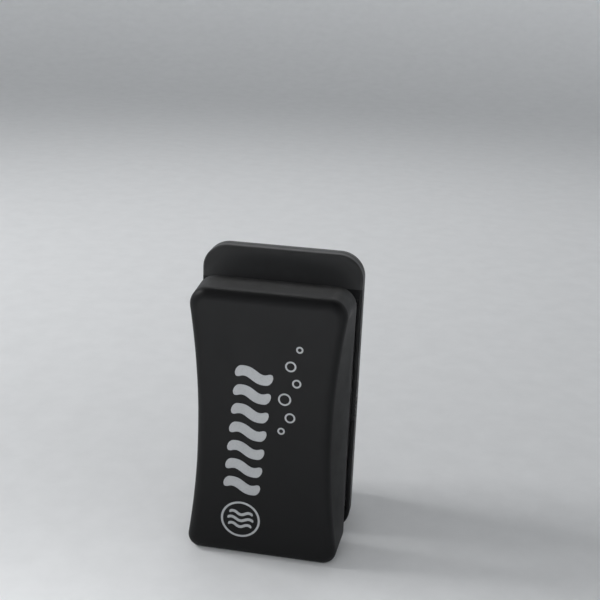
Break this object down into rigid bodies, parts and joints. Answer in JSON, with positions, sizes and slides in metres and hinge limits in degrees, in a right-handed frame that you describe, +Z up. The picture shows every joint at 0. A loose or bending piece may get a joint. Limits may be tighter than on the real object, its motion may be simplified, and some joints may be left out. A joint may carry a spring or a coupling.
{
  "type": "magnetic glass cleaner",
  "caption": "Magnetic aquarium glass cleaner: waisted handle half with felt face, floating half with scrub pad, nose and retractable blades, magnets coupling both through the pane.",
  "frame": {"origin": "centre of the footprint, on the surface that both halves stand on", "axes": "+X to the right across both halves, +Y from the hand side through the pane into the tank, +Z up along the length of the halves"},
  "size_m": [0.084, 0.082, 0.1585],
  "materials": {
    "housing_black": "satin",
    "inner_plastic": "matte",
    "screw_steel": "polished",
    "adhesive_film": "matte",
    "felt": "matte",
    "magnet_nickel": "polished",
    "yoke_steel": "satin",
    "seal_rubber": "satin",
    "soft_guard": "matte",
    "hook_pad": "matte",
    "carriage_plastic": "satin",
    "blade_steel": "polished"
  },
  "bodies": {
    "handle_half": {"outer_shell": "housing_black", "outer_closing_plate": "inner_plastic", "outer_screws": "screw_steel", "outer_pad_adhesive": "adhesive_film", "outer_felt_pad": "felt", "outer_magnet_cradle": "inner_plastic", "outer_magnets": "magnet_nickel", "outer_yoke_plate": "yoke_steel"},
    "float_half": {"float_hull": "housing_black", "float_flange": "housing_black", "float_seal_ring": "seal_rubber", "edge_guard": "soft_guard", "float_magnet_cradle": "inner_plastic", "float_magnets": "magnet_nickel", "float_yoke_plate": "yoke_steel", "float_screws": "screw_steel", "scrub_pad_adhesive": "adhesive_film", "scrub_pad": "hook_pad", "cleaning_nose": "soft_guard", "nose_screws": "screw_steel"},
    "blade_unit_left": {"blade_carriage_left": "carriage_plastic", "blade_left": "blade_steel", "blade_clamp_left": "carriage_plastic", "blade_clamp_screws_left": "screw_steel"},
    "blade_unit_right": {"blade_carriage_right": "carriage_plastic", "blade_right": "blade_steel", "blade_clamp_right": "carriage_plastic", "blade_clamp_screws_right": "screw_steel"}
  },
  "joints": [
    {"name": "float_separation", "type": "slide", "parent": "handle_half", "child": "float_half", "axis": [0, 1, 0], "range_m": [-0.0075, 0.06]},
    {"name": "blade_left_slide", "type": "slide", "parent": "float_half", "child": "blade_unit_left", "axis": [0, -1, 0], "range_m": [0, 0.0015]},
    {"name": "blade_right_slide", "type": "slide", "parent": "float_half", "child": "blade_unit_right", "axis": [0, -1, 0], "range_m": [0, 0.0015]}
  ]
}
